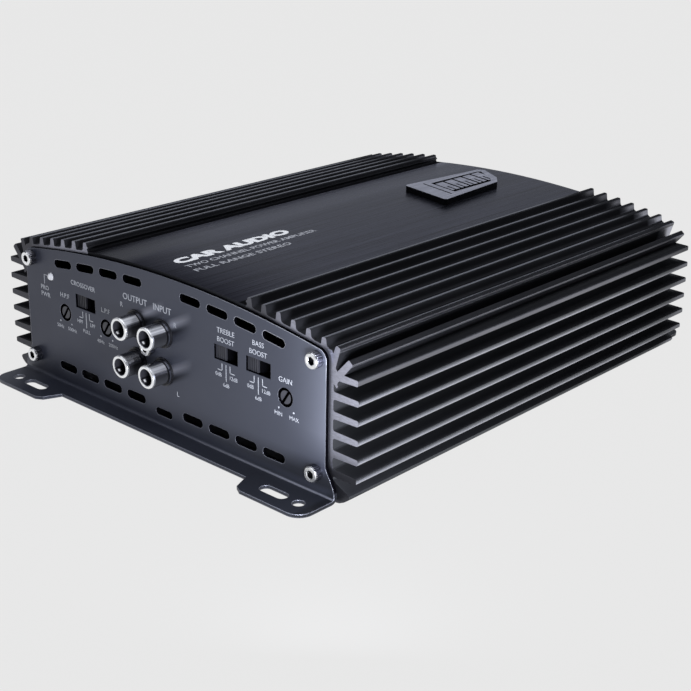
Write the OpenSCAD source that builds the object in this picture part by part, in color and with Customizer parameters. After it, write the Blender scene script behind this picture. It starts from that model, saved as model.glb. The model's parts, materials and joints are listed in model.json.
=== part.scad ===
// Compact two-channel car amplifier: a finned aluminium extrusion closed by two folded
// sheet-steel end panels with mounting feet, and the electronics inside it.
// Millimetres. X is the width, Y runs from the control panel (-Y) to the terminal panel (+Y),
// Z is up, and the origin is at the middle of the footprint, on the surface it stands on.

/* [Extrusion] */
// Length of the finned extrusion
body_len = 196.4; // [180:0.2:240]
// Width over the tips of the side fins
body_w = 177; // [177:0.5:190]
// Height of the smooth deck at its crown
deck_z = 57.3; // [57:0.1:60]
// Radius of the gentle crown across the deck
deck_r = 437; // [400:1:700]
// Half width of the smooth deck between the fins
deck_half = 40.5; // [36:0.5:40.5]
// Thickness of the roof and side walls
wall_t = 2.7; // [2.2:0.1:3.2]
// Upright fins on each side of the deck
top_fins = 6; // [3:1:6]
// Pitch of the upright fins
top_fin_pitch = 6.45; // [6.3:0.05:6.5]
// Fins on each side wall
side_fins = 6; // [3:1:6]
// Pitch of the side fins
side_fin_pitch = 6.5; // [6.2:0.05:6.55]

/* [End panels] */
// Thickness of the end panels
sheet_t = 1.2; // [1:0.1:1.8]
// Reach of the feet beyond the extrusion
foot_reach = 16.8; // [15:0.1:20]
// Reach of the folded lip between the feet
lip_reach = 8.7; // [7:0.1:10]
// Distance of the foot holes from the extrusion's end
foot_hole_out = 9.9; // [9:0.1:11]
// Diameter of the round foot holes
foot_hole_d = 4.2; // [3.6:0.1:5]
// Length of the foot slots
foot_slot_len = 11.3; // [8:0.1:12]
// Width of the foot slots
foot_slot_w = 4.4; // [3.6:0.1:5]

/* [Phono jacks] */
// Outside diameter of a jack's shield
jack_d = 8.25; // [8:0.05:8.5]
// Reach of a shield in front of the panel
jack_reach = 8.1; // [7:0.1:9]
// Distance between the two columns of jacks
jack_pitch_x = 13.7; // [12:0.1:16]
// Distance between the two rows of jacks
jack_pitch_z = 13.8; // [12:0.1:15]

/* [Controls] */
// Diameter of the panel hole around a trimmer
trim_hole_d = 6.5; // [6:0.1:7]
// Diameter of a trimmer's slotted rotor
trim_rotor_d = 5.2; // [4.8:0.1:5.4]
// Angle of the rotor slots from horizontal
trim_slot_deg = 57; // [0:1:180]
// Width of a slide switch's window
window_w = 11.1; // [10:0.1:12]
// Height of a slide switch's window
window_h = 5.1; // [4.6:0.1:5.6]
// Width of a slide switch's knob
knob_w = 4.8; // [4:0.1:5]

/* [Terminals] */
// Diameter of the power wire ports
power_port_d = 6.4; // [5:0.1:6.6]
// Diameter of the speaker wire ports
speaker_port_d = 4.6; // [3.5:0.1:4.8]

/* [Hidden] */

eps = 0.02;
fine = 48;                        // facets on small round shapes
end_y = body_len / 2;             // the extrusion's end faces
face_y = -end_y - sheet_t;        // outer face of the front panel
rear_y = end_y + sheet_t;         // outer face of the rear panel
half_w = body_w / 2;

// extrusion profile, right-hand side
wall_x = 78.25;                   // outer face of the side wall
wall_in = wall_x - wall_t;
corner_z = 50;                    // where the crown meets the side wall
fin_tip_t = 1.8;
side_tip_t = 2;
fin_root_t = 2.5;
fin_fillet = 0.9;
fin_corner = 0.5;                 // radius on the corners of a fin's flat tip
top_fin_x = deck_half + 1.3;
side_fin_z = 42.4;
screw_x = 72.5;                   // the four screw bosses at each end
screw_z = [8.55, 46.6];
boss_r = 3.4;
screw_r = 1.5;
screw_hole_r = 1.55;
ledge_z = 2.8;                    // the bottom cover screws up against this ledge
ledge_t = 2.4;
ledge_x = 65;
cover_t = 1.5;
cover_z = ledge_z - cover_t;
cover_half_w = 73.8;
cover_screw_x = 69.5;
cover_screw_y = [-80, 0, 80];

// end panels
panel_top = 56.3;
panel_half = 76.3;
panel_corner_r = 3.6;
flare_z = 11.4;
fold_r = 2.3;                     // outside radius of the fold
foot_in = 48.5;
foot_front_in = 52.3;
foot_out = 80.3;
foot_out_r = 5.5;
foot_hole_x = 73.3;
foot_slot_x = 62.5;
head_r = 2.75;                    // socket cap screws
head_h = 3;
hex_r = 1.45;

// vents: an arched row under the top edge and a straight row above the fold
vent_x = [14.8, 27.9, 40.9, 53.8];
vent_w = 10;
vent_top_h = 3;
vent_low_h = 3.2;
vent_edge = 5.1;
vent_low_z = 8;
vent_mid_w = 8.5;
vent_mid_h = 2.7;
vent_mid_z = 6.1;

// phono jacks: output column on the left, input column on the right
jack_x = [-13.2, -13.2 + jack_pitch_x];
jack_low_z = 21.9;
jack_z = [jack_low_z, jack_low_z + jack_pitch_z];
jack_mid_x = (jack_x[0] + jack_x[1]) / 2;
jack_mid_z = (jack_z[0] + jack_z[1]) / 2;
jack_front = face_y - jack_reach;
jack_bore_r = 2.85;
jack_tail_step = 0.3;             // the shield is this much thinner behind its step
jack_collar_r = 5;
jack_contact_r = 1.6;             // takes a 3.2 mm plug pin
jack_back = -end_y + 8;

// controls
trim_at = [[-53.65, 29.6], [-30.15, 29.6], [58.95, 29.8]];
window_at = [[-41.55, 36], [31.85, 36.6], [46.85, 36.6]];
led_at = [-61.6, 41.5];
led_r = 1.5;
control_board_y = -87;
control_board_t = 1.6;
trim_run = 0.06;                  // running clearance of a rotor in its body
slide_gap = 0.1;                  // gap of a slide knob in its window

// boards
board_z = 13;
board_t = 1.6;
board_top = board_z + board_t;
board_half_w = 68.5;
board_half_len = 94;
standoff_at = [[-62, -84], [62, -84], [-62, 10], [62, 10], [-62, 72], [62, 72]];
transistor_y = [-46, -30, -14, 24, 40, 56];
transistor_z = 19;
transistor_t = 4.4;
pad_t = 0.4;
clamp_y = [-30, 40];
clamp_screw_y = [-38, -22, 32, 48];
clamp_z = 31;
bar_in = 7.3;                     // inner face of a clamp bar, measured from the wall

// terminals
power_x = [25, 38, 51];
power_half_w = 21;
power_out = end_y + 13.2;
power_top = 36;
power_port_z = 22.6;
power_cage_w = 10;
power_screw_r = 2.5;
speaker_x = [-53.5, -44, -34.5, -25];
speaker_mid = (speaker_x[0] + speaker_x[3]) / 2;
speaker_half_w = 20;
speaker_out = end_y + 11.2;
speaker_top = 31;
speaker_port_z = 20.8;
speaker_cage_w = 7.4;
speaker_screw_r = 1.9;
thread_run = 0.06;                // running clearance of a terminal screw
port_depth = 13;
fuse_x = -1.5;
fuse_z = [21.4, 33];
fuse_w = 19.1;
fuse_t = 5.1;
fuse_seat_y = end_y + 3.3;        // where a fuse's shoulders rest
fuse_blade_x = 6.9;

metal_dark = [0.13, 0.14, 0.16];
panel_grey = [0.29, 0.30, 0.35];
black = [0.06, 0.06, 0.07];
steel = [0.80, 0.81, 0.84];
brass = [0.80, 0.64, 0.32];
board_green = [0.08, 0.28, 0.16];

function crown(x, r = deck_r, top = deck_z) = top - r + sqrt(r * r - x * x);

// ---------- helpers ----------

// a prism along Y from a profile drawn in X and Z
module along_y(y0, y1) {
    translate([0, y1, 0]) rotate([90, 0, 0]) linear_extrude(y1 - y0) children();
}

// a rod along Y
module rod_y(x, z, y0, y1, r, facets = fine) {
    translate([x, y1, z]) rotate([90, 0, 0]) cylinder(h = y1 - y0, r = r, $fn = facets);
}

module block(x0, x1, y0, y1, z0, z1) {
    translate([x0, y0, z0]) cube([x1 - x0, y1 - y0, z1 - z0]);
}

// a slot with round ends, drawn flat, lying along X
module slot_2d(w, h) {
    square([w - h, h], center = true);
    for (s = [-1, 1]) translate([s * (w - h) / 2, 0]) circle(d = h, $fn = fine);
}

module both_sides() {
    children();
    mirror([1, 0, 0]) children();
}

module ring_z(x, y, z0, z1, r_out, r_in) {
    translate([x, y, z0]) difference() {
        cylinder(h = z1 - z0, r = r_out, $fn = fine);
        translate([0, 0, -1]) cylinder(h = z1 - z0 + 2, r = r_in, $fn = fine);
    }
}

// ---------- extrusion ----------

// one fin: straight flanks, a filleted root and a flat tip with rounded corners
module fin_2d(root, tip, t_root = fin_root_t, t_tip = fin_tip_t) {
    run = tip - root;
    len = norm(run);
    steps = 4;
    // half thickness at height s, with a concave fillet of radius fin_fillet
    function half_t(s) = (t_root + (t_tip - t_root) * s / len) / 2
        + (s < fin_fillet ? fin_fillet - sqrt(fin_fillet ^ 2 - (fin_fillet - s) ^ 2) : 0);
    flank = concat(
        [for (i = [0:steps]) let (s = fin_fillet * i / steps) [half_t(s), s]],
        [for (a = [0:30:90]) [t_tip / 2 - fin_corner + fin_corner * cos(a),
            len - fin_corner + fin_corner * sin(a)]]);
    translate(root) rotate(atan2(run[1], run[0]) - 90)
        polygon(concat(
            [[half_t(0), -0.8]], flank,
            [for (i = [len(flank) - 1:-1:0]) [-flank[i][0], flank[i][1]]],
            [[-half_t(0), -0.8]]));
}

// roof and side wall in section, without the fins
module shell_half_2d() {
    roof = 12;
    polygon(concat(
        [for (i = [0:roof]) let (x = 77.4 * i / roof) [x, crown(x)]],
        [[wall_x, corner_z - 1], [wall_x, 8.8],
         // the foot rail flares out to a rounded toe
         [78.7, 7.7], [79.8, 6.7], [82.6, 5.3], [84.7, 4.4], [85.3, 3.9], [85.4, 3.3],
         [84.8, 2.4], [83.3, 1.3], [81.3, 0.35], [79, 0],
         [74, 0], [74, ledge_z], [ledge_x, ledge_z], [ledge_x, ledge_z + ledge_t],
         [wall_in, ledge_z + ledge_t], [wall_in, corner_z - 3]],
        [for (i = [roof:-1:0]) let (x = wall_in * i / roof) [x, crown(x) - wall_t]]));
}

module fins_2d() {
    for (i = [0:top_fins - 1]) {
        x = top_fin_x + i * top_fin_pitch;
        fin_2d([x, crown(x) - 0.2], [x, 60.55 - x * x / 790]);
    }
    // a small barb on the deck side of the first fin
    translate([top_fin_x - 1.1, crown(top_fin_x) + 1.5]) circle(d = 0.9, $fn = 16);
    // two splayed fins round the corner
    fin_2d([77.6, 45], [80, 52], 2.6, side_tip_t);
    fin_2d([78.4, 40.7], [85.1, 48.4], 2.6, 2.2);
    for (i = [0:side_fins - 1]) {
        z = side_fin_z - i * side_fin_pitch;
        inset = (i == 0 || i == side_fins - 1) ? 0.4 : 0;
        fin_2d([wall_x - 0.1, z], [half_w - inset, z], fin_root_t, side_tip_t);
    }
}

module heatsink_shell() {
    color(metal_dark) difference() {
        union() {
            both_sides() along_y(-end_y, end_y) shell_half_2d();
            both_sides() along_y(-end_y, end_y) fins_2d();
            both_sides() for (z = screw_z) rod_y(screw_x, z, -end_y, end_y, boss_r);
        }
        both_sides() for (z = screw_z) rod_y(screw_x, z, -end_y - 1, end_y + 1, screw_hole_r);
        both_sides() for (y = cover_screw_y)
            translate([cover_screw_x, y, -1]) cylinder(h = 9, r = screw_hole_r, $fn = fine);
        both_sides() for (y = clamp_screw_y) translate([wall_in - 1, y, clamp_z])
            rotate([0, 90, 0]) cylinder(h = 2.6, r = screw_hole_r, $fn = fine);
    }
}

module bottom_cover() {
    vents = 7;
    color(metal_dark) difference() {
        block(-cover_half_w, cover_half_w, -end_y + 0.3, end_y - 0.3, cover_z, cover_z + cover_t);
        both_sides() for (y = cover_screw_y) translate([cover_screw_x, y, 0]) {
            translate([0, 0, cover_z - eps]) cylinder(h = cover_t, r1 = 3, r2 = 1.6, $fn = fine);
            cylinder(h = 9, r = 1.6, $fn = fine);
        }
        for (i = [0:vents - 1], s = [-1, 1]) translate([0, s * (26 + 6 * i), -1])
            linear_extrude(9) slot_2d(34, 2.6);
    }
}

// countersunk screw, head down, at the height of the bottom cover
module bottom_cover_screws() {
    color(steel) both_sides() for (y = cover_screw_y) translate([cover_screw_x, y, cover_z])
        difference() {
            union() {
                cylinder(h = 1.35, r1 = 2.85, r2 = screw_r, $fn = fine);
                cylinder(h = 6, r = screw_r, $fn = fine);
            }
            cross_recess(1.9);
        }
}

// a cross recess cut upwards from Z = 0
module cross_recess(size) {
    for (a = [0, 90]) rotate(a) translate([0, 0, 0.4]) cube([size, 0.6, 1.2], center = true);
}

// ---------- end panels ----------

module panel_half_2d() {
    arc = 10;
    top_x = panel_half - panel_corner_r;
    polygon(concat(
        [for (i = [0:arc]) let (x = top_x * i / arc) [x, crown(x, deck_r, panel_top)]],
        [for (a = [75:-15:0]) [top_x + panel_corner_r * cos(a),
            crown(top_x, deck_r, panel_top) - panel_corner_r + panel_corner_r * sin(a)]],
        [[panel_half, flare_z], [77, 9.6], [78.5, 7.3], [79.9, 4.5], [foot_out, fold_r],
         [0, fold_r]]));
}

module vents_2d() {
    for (s = [-1, 1], x = vent_x) {
        z = crown(x, deck_r, panel_top) - vent_edge;
        translate([s * x, z]) rotate(-s * asin(x / deck_r)) slot_2d(vent_w, vent_top_h);
        translate([s * x, vent_low_z]) slot_2d(vent_w, vent_low_h);
    }
    translate([0, vent_mid_z]) slot_2d(vent_mid_w, vent_mid_h);
}

// the folded flange with its two feet, drawn in X and Y for the front end
module foot_half_2d() {
    flange_y = -end_y - fold_r;
    difference() {
        union() {
            translate([0, -end_y - lip_reach]) square([foot_in + 1, lip_reach - fold_r]);
            polygon([
                [foot_in, flange_y], [foot_in, -end_y - lip_reach],
                [foot_front_in - 1.2, -end_y - foot_reach + 1.6],
                [foot_front_in + 1.6, -end_y - foot_reach],
                [foot_out - foot_out_r, -end_y - foot_reach],
                [foot_out - foot_out_r, -end_y - foot_reach + foot_out_r],
                [foot_out, -end_y - foot_reach + foot_out_r], [foot_out, flange_y]]);
            translate([foot_out - foot_out_r, -end_y - foot_reach + foot_out_r])
                circle(r = foot_out_r, $fn = 64);
        }
        translate([foot_hole_x, -end_y - foot_hole_out]) circle(d = foot_hole_d, $fn = fine);
        translate([foot_slot_x, -end_y - foot_hole_out]) slot_2d(foot_slot_len, foot_slot_w);
    }
}

// a panel blank: upright sheet, fold and flange
module panel_blank() {
    difference() {
        union() {
            both_sides() along_y(face_y, -end_y) panel_half_2d();
            both_sides() linear_extrude(sheet_t) foot_half_2d();
            intersection() {
                translate([-foot_out, -end_y - fold_r, fold_r]) rotate([0, 90, 0])
                    difference() {
                        cylinder(h = 2 * foot_out, r = fold_r, $fn = fine);
                        translate([0, 0, -1])
                            cylinder(h = 2 * foot_out + 2, r = fold_r - sheet_t, $fn = fine);
                    }
                block(-foot_out, foot_out, -end_y - fold_r - eps, -end_y, 0, fold_r + eps);
            }
        }
        along_y(face_y - 1, -end_y + 1) vents_2d();
        both_sides() for (z = screw_z) rod_y(screw_x, z, face_y - 1, -end_y + 1, 1.7);
    }
}

module front_panel() {
    color(panel_grey) difference() {
        panel_blank();
        for (x = jack_x, z = jack_z)
            rod_y(x, z, face_y - 1, -end_y + 1, jack_collar_r + 0.05);
        rod_y(jack_mid_x, jack_mid_z, face_y - 1, -end_y + 1, 1.6);
        for (p = trim_at) rod_y(p[0], p[1], face_y - 1, -end_y + 1, trim_hole_d / 2);
        for (p = window_at)
            block(p[0] - window_w / 2, p[0] + window_w / 2, face_y - 1, -end_y + 1,
                  p[1] - window_h / 2, p[1] + window_h / 2);
        rod_y(led_at[0], led_at[1], face_y - 1, -end_y + 1, led_r + 0.15);
    }
}

module rear_panel() {
    color(panel_grey) difference() {
        mirror([0, 1, 0]) panel_blank();
        block(power_x[1] - power_half_w - 0.2, power_x[1] + power_half_w + 0.2, end_y - 1,
              rear_y + 1, board_top - 0.2, power_top + 0.2);
        block(speaker_mid - speaker_half_w - 0.2, speaker_mid + speaker_half_w + 0.2, end_y - 1,
              rear_y + 1, board_top - 0.2, speaker_top + 0.2);
        block(fuse_x - 12.2, fuse_x + 12.2, end_y - 1, rear_y + 1, board_top - 0.2, 39.7);
    }
}

// hex-socket cap screw: head from the panel outwards, shank into the boss; front end
module cap_screw(x, z, shank) {
    difference() {
        union() {
            rod_y(x, z, face_y - head_h + 0.35, face_y, head_r);
            rod_y(x, z, face_y - head_h, face_y - head_h + 0.36, head_r - 0.3);
            rod_y(x, z, face_y - 0.1, face_y + shank, screw_r);
        }
        rod_y(x, z, face_y - head_h - 1, face_y - head_h + 1.9, hex_r, 6);
    }
}

module front_panel_screws() {
    color(steel) for (s = [-1, 1], z = screw_z) cap_screw(s * screw_x, z, 10);
}

module rear_panel_screws() {
    color(steel) mirror([0, 1, 0]) front_panel_screws();
}

// ---------- badge on the deck ----------

module badge_plate() {
    top_z = deck_z + 2.3;
    base_z = crown(14) - 0.05;
    color([0.25, 0.26, 0.29]) difference() {
        translate([0, 0, base_z]) linear_extrude(top_z - base_z)
            polygon([[-12.2, 43], [-11.4, 41.9], [12.6, 36.6], [13.6, 37.6], [10.8, 74.4],
                     [6.2, 80.2], [-5.2, 87], [-8, 85.4]]);
        along_y(20, 95) both_sides() polygon(concat(
            [for (i = [0:8]) let (x = 19 * i / 8) [x, crown(x) + 0.01]],
            [[19, deck_z - 5], [0, deck_z - 5]]));
        // a sunk field crossed by raised, slit bars, and a groove in front of it
        translate([0, 0, top_z - 0.8]) linear_extrude(3) {
            polygon([[-8.6, 49.2], [9.6, 44.9], [9.6, 45.7], [-8.6, 50]]);
            difference() {
                polygon([[-6.8, 52.4], [8.4, 48.8], [8.2, 73.4], [4.6, 77.8], [-4.6, 83.4], [-5.8, 82.4]]);
                for (i = [0:4]) translate([0, 53 + 6 * i]) badge_bar_2d();
            }
        }
    }
}

// slanting bar, slit from one side to its middle
module badge_bar_2d() {
    difference() {
        polygon([[-4.9, -0.2], [6.5, -3], [6.5, 1.9], [-4.9, 4.7]]);
        polygon([[1, 0], [7, -1.5], [7, -0.6], [1, 0.9]]);
    }
}

// ---------- boards ----------

module main_board() {
    color(board_green) difference() {
        block(-board_half_w, board_half_w, -board_half_len, board_half_len, board_z, board_top);
        for (p = standoff_at) translate([p[0], p[1], board_z - 1])
            cylinder(h = board_t + 2, r = 1.7, $fn = fine);
    }
}

module board_standoffs() {
    color(steel) for (p = standoff_at)
        ring_z(p[0], p[1], cover_z + cover_t, board_z, 3, screw_hole_r);
}

module board_screws() {
    color(steel) for (p = standoff_at) translate([p[0], p[1], board_top]) difference() {
        union() {
            cylinder(h = 2, r = 2.8, $fn = fine);
            translate([0, 0, -6]) cylinder(h = 6.1, r = screw_r, $fn = fine);
        }
        translate([0, 0, 2.1]) mirror([0, 0, 1]) cross_recess(2.6);
    }
}

// upright boards behind the panel that carry the trimmers, switches and lamp
module control_boards() {
    color(board_green) {
        block(-68, -22, control_board_y, control_board_y + control_board_t, 21, 45.5);
        block(22, 67, control_board_y, control_board_y + control_board_t, 21, 45.5);
    }
}

module board_headers() {
    pins = 12;
    for (x0 = [-56, 28]) {
        color(black) block(x0, x0 + pins * 2.54, control_board_y + control_board_t,
                           control_board_y + control_board_t + 2.5, board_top, 24);
        color(brass) for (i = [0:pins - 1])
            block(x0 + 2.54 * i + 0.95, x0 + 2.54 * i + 1.59, control_board_y + control_board_t
                  + 2.5, control_board_y + control_board_t + 3.1, board_top, 23);
    }
}

// ---------- phono jacks ----------

module rca_housing() {
    color(black) difference() {
        union() {
            block(jack_x[0] - 6.5, jack_x[1] + 6.5, -end_y, jack_back, board_top, jack_z[1] + 6.5);
            for (x = jack_x, z = jack_z)
                rod_y(x, z, face_y - 0.6, -end_y + 1, jack_collar_r);
        }
        for (x = jack_x, z = jack_z)
            rod_y(x, z, face_y - 2, jack_back - 2, jack_d / 2 - jack_tail_step);
        rod_y(jack_mid_x, jack_mid_z, -end_y - 1, -end_y + 7, 1.3);
    }
}

// shield: a tube with a rolled front lip and a small step at its foot
module jack_shield(x, z) {
    r = jack_d / 2;
    lip = 0.5;
    back = jack_back - 2 - jack_front;
    tail = r - jack_tail_step;
    color(steel) translate([x, jack_front, z]) rotate([-90, 0, 0]) rotate_extrude($fn = 96)
        polygon(concat(
            [for (a = [0:15:90]) [r - lip + lip * cos(90 - a), lip - lip * sin(90 - a)]],
            [[r, jack_reach - 1.5], [r + 0.5, jack_reach - 1.4], [r + 0.5, jack_reach - 0.6],
             [tail, jack_reach - 0.6], [tail, back], [jack_bore_r, back]],
            [for (a = [0:15:90]) [jack_bore_r + lip - lip * cos(a), lip - lip * sin(a)]]));
}

module output_r_shield() { jack_shield(jack_x[0], jack_z[1]); }
module output_l_shield() { jack_shield(jack_x[0], jack_z[0]); }
module input_r_shield() { jack_shield(jack_x[1], jack_z[1]); }
module input_l_shield() { jack_shield(jack_x[1], jack_z[0]); }

module rca_insulators() {
    color(black) for (x = jack_x, z = jack_z) difference() {
        rod_y(x, z, jack_front + 4, jack_back - 2, jack_bore_r);
        rod_y(x, z, jack_front + 1, jack_back, 2);
    }
}

module rca_contacts() {
    color(brass) for (x = jack_x, z = jack_z) difference() {
        rod_y(x, z, jack_front + 4.4, jack_back - 2, 2);
        rod_y(x, z, jack_front + 1, jack_back - 3, jack_contact_r);
    }
}

module rca_screw() {
    color(steel) difference() {
        union() {
            rod_y(jack_mid_x, jack_mid_z, face_y - 2.7, face_y, 2.5);
            rod_y(jack_mid_x, jack_mid_z, face_y - 0.1, -end_y + 6.5, 1.3);
        }
        rod_y(jack_mid_x, jack_mid_z, face_y - 4, face_y - 1.1, 1.3, 6);
    }
}

// ---------- trimmers ----------

trim_collar_r = 3.3;
trim_collar_room = 0.4;
trim_body_half = 4.2;
trim_nose_y = -end_y + 2.2;

module pot_body(p) {
    back = control_board_y;
    color([0.10, 0.20, 0.45]) difference() {
        union() {
            block(p[0] - trim_body_half, p[0] + trim_body_half, trim_nose_y + 1.5, back,
                  p[1] - 5.5, p[1] + trim_body_half);
            rod_y(p[0], p[1], trim_nose_y, trim_nose_y + 2, 3.6);
        }
        rod_y(p[0], p[1], trim_nose_y - 1, back - 1.5, trim_rotor_d / 2 + trim_run);
        rod_y(p[0], p[1], trim_nose_y + 3.5, back - 1.5, trim_collar_r + trim_collar_room);
    }
}

// slotted rotor, level with the panel's face, with a collar that holds it in its body
module pot_rotor(p) {
    front = face_y + 0.15;
    color(black) difference() {
        union() {
            rod_y(p[0], p[1], front, control_board_y - 1.9, trim_rotor_d / 2);
            rod_y(p[0], p[1], trim_nose_y + 3.9, trim_nose_y + 5.4, trim_collar_r);
        }
        translate([p[0], front, p[1]]) rotate([0, -trim_slot_deg, 0])
            cube([trim_rotor_d + 1, 2.6, 1.05], center = true);
    }
}

module hpf_pot_body() { pot_body(trim_at[0]); }
module lpf_pot_body() { pot_body(trim_at[1]); }
module gain_pot_body() { pot_body(trim_at[2]); }
module hpf_rotor() { pot_rotor(trim_at[0]); }
module lpf_rotor() { pot_rotor(trim_at[1]); }
module gain_rotor() { pot_rotor(trim_at[2]); }

// ---------- slide switches ----------

switch_half_w = 7.05;
switch_room = 6.5;                // half width of the carriage's cavity
switch_half_h = 4.1;
carriage_w = 6.4;

module switch_body(p) {
    color([0.62, 0.63, 0.66]) difference() {
        block(p[0] - switch_half_w, p[0] + switch_half_w, -end_y, control_board_y,
              p[1] - switch_half_h, p[1] + switch_half_h);
        block(p[0] - switch_room, p[0] + switch_room, -end_y - 1, -end_y + 4.5, p[1] - 3.1, p[1] + 3.1);
    }
}

// knob at the left end of its window, with a ribbed grip and a carriage behind the panel
module slider(p) {
    x0 = p[0] - window_w / 2 + slide_gap;
    mid = x0 + knob_w / 2;
    knob_front = face_y + 0.7;
    ribs = 4;
    color(black) difference() {
        union() {
            block(x0, x0 + knob_w, knob_front, -end_y + 1.5, p[1] - window_h / 2 + slide_gap,
                  p[1] + window_h / 2 - slide_gap);
            block(mid - carriage_w / 2, mid + carriage_w / 2, -end_y + 0.4, -end_y + 3.8,
                  p[1] - 2.9, p[1] + 2.9);
        }
        for (i = [0:ribs - 1])
            block(x0 + 0.75 + i * 0.95, x0 + 1.2 + i * 0.95, knob_front - 1, knob_front + 0.45,
                  p[1] - 5, p[1] + 5);
    }
}

module crossover_switch_body() { switch_body(window_at[0]); }
module treble_switch_body() { switch_body(window_at[1]); }
module bass_switch_body() { switch_body(window_at[2]); }
module crossover_slider() { slider(window_at[0]); }
module treble_slider() { slider(window_at[1]); }
module bass_slider() { slider(window_at[2]); }

module power_led() {
    dome_y = face_y + 0.4;
    color([0.92, 0.94, 1]) {
        rod_y(led_at[0], led_at[1], dome_y, -end_y + 3, led_r);
        translate([led_at[0], dome_y, led_at[1]]) sphere(r = led_r, $fn = fine);
        rod_y(led_at[0], led_at[1], -end_y + 0.3, -end_y + 1.3, 1.9);
    }
    color(steel) for (s = [-1, 1]) rod_y(led_at[0] + s * 0.8, led_at[1], -end_y + 2.9,
                                         control_board_y, 0.25);
}

// ---------- power stage ----------

coil_at = [0, 14];
coil_r = [11, 19];
coil_h = 15;
coil_wrap = 3;
coil_gap = 0.05;

module transformer_core() {
    color([0.35, 0.38, 0.36])
        ring_z(coil_at[0], coil_at[1], board_top + coil_wrap, board_top + coil_wrap + coil_h,
               coil_r[1] - coil_gap, coil_r[0] + coil_gap);
}

module transformer_winding() {
    color([0.72, 0.40, 0.20]) difference() {
        ring_z(coil_at[0], coil_at[1], board_top, board_top + coil_h + 2 * coil_wrap,
               coil_r[1] + coil_wrap, coil_r[0] - coil_wrap);
        ring_z(coil_at[0], coil_at[1], board_top + coil_wrap, board_top + coil_wrap + coil_h,
               coil_r[1], coil_r[0]);
    }
}

// electrolytic can with a crimped groove near its foot
module can(x, y, r, h) {
    translate([x, y, board_top]) rotate_extrude($fn = fine) difference() {
        square([r, h]);
        translate([r + 0.3, 3]) circle(r = 0.9, $fn = 20);
        translate([-1, h - 0.4]) square([r * 0.8 + 1, 1]);
    }
}

module filter_capacitors() {
    color([0.12, 0.13, 0.22]) for (x = [-44, -22, 22, 44]) can(x, 66, 9, 31);
}

module signal_capacitors() {
    color([0.12, 0.13, 0.22]) for (x = [-52, -36, -20, 20, 36, 52], y = [-66, -50])
        can(x, y, 4, 12);
}

module power_transistors() {
    both_sides() for (y = transistor_y) {
        color(black) block(wall_in - pad_t - transistor_t, wall_in - pad_t, y - 5, y + 5,
                           transistor_z, transistor_z + 15);
        color(steel) for (dy = [-2.54, 0, 2.54])
            block(wall_in - 9.2, wall_in - 8.5, y + dy - 0.35, y + dy + 0.35, board_top,
                  transistor_z + 1.6);
        color(steel) for (dy = [-2.54, 0, 2.54])
            block(wall_in - 9.2, wall_in - pad_t - transistor_t, y + dy - 0.35, y + dy + 0.35,
                  transistor_z + 1.4, transistor_z + 2);
    }
}

module thermal_pads() {
    color([0.75, 0.74, 0.70]) both_sides() for (y = clamp_y) difference() {
        block(wall_in - pad_t, wall_in, y - 23, y + 23, transistor_z - 1.5, transistor_z + 17);
        clamp_holes(y, pad_t + 2);
    }
}

// clearance holes for the two screws of one clamp, reaching depth in from the wall
module clamp_holes(y, depth) {
    for (s = [-1, 1]) translate([wall_in - depth, y + 8 * s, clamp_z]) rotate([0, 90, 0])
        cylinder(h = depth + 1, r = 1.7, $fn = fine);
}

module clamp_bars() {
    color(steel) both_sides() for (y = clamp_y) difference() {
        block(wall_in - bar_in, wall_in - pad_t - transistor_t, y - 22, y + 22, clamp_z - 3.5,
              clamp_z + 3.5);
        clamp_holes(y, bar_in + 2);
    }
}

module clamp_screws() {
    color(steel) both_sides() for (y = clamp_screw_y) translate([wall_in - bar_in, y, clamp_z])
        rotate([0, 90, 0]) difference() {
            union() {
                translate([0, 0, -2]) cylinder(h = 2, r = 2.8, $fn = fine);
                translate([0, 0, -0.1]) cylinder(h = 8.7, r = screw_r, $fn = fine);
            }
            translate([0, 0, -2.1]) cross_recess(2.6);
        }
}

module input_choke() {
    color([0.72, 0.40, 0.20]) translate([-46, 28, board_top + 9]) rotate([90, 0, 0])
        rotate_extrude($fn = fine) translate([6.2, 0]) circle(r = 2.8, $fn = 24);
}

module signal_chips() {
    for (x = [-30, 0, 30]) {
        color(black) block(x - 5, x + 5, -35, -28.5, board_top + 0.6, board_top + 3.9);
        color(steel) for (i = [0:3], s = [-1, 1])
            block(x - 4.2 + 2.54 * i, x - 3.7 + 2.54 * i, -31.75 + 3.85 * s - 0.6,
                  -31.75 + 3.85 * s + 0.6, board_top, board_top + 2);
    }
}

// ---------- terminals ----------

// housing with a row of wire ports facing outwards and screw holes on top
module terminal_block(xs, x_mid, half, out, top, port_z, port_r, cage_w, access_r) {
    color(black) difference() {
        union() {
            block(x_mid - half, x_mid + half, end_y - 6, out, board_top, top);
            for (i = [0:len(xs) - 2]) {
                rib_x = (xs[i] + xs[i + 1]) / 2;
                block(rib_x - 0.6, rib_x + 0.6, rear_y, out + 1.2, board_top, top + 1);
            }
        }
        for (x = xs) {
            rod_y(x, port_z, out - port_depth, out + 2, port_r);
            // pocket for the metal cage
            block(x - cage_w / 2, x + cage_w / 2, out - port_depth, out - 3.2, port_z - port_r - 2,
                  top - 3);
            translate([x, (2 * out - port_depth - 3.2) / 2, top - 4])
                cylinder(h = 6, r = access_r, $fn = fine);
        }
    }
}

module terminal_cages(xs, out, top, port_z, port_r, cage_w, thread_r) {
    color(brass) for (x = xs) difference() {
        block(x - cage_w / 2, x + cage_w / 2, out - port_depth, out - 3.2, port_z - port_r - 2,
              top - 3);
        rod_y(x, port_z, out - port_depth - 1, out, port_r);
        translate([x, (2 * out - port_depth - 3.2) / 2, port_z])
            cylinder(h = 30, r = thread_r + thread_run, $fn = fine);
    }
}

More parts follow.
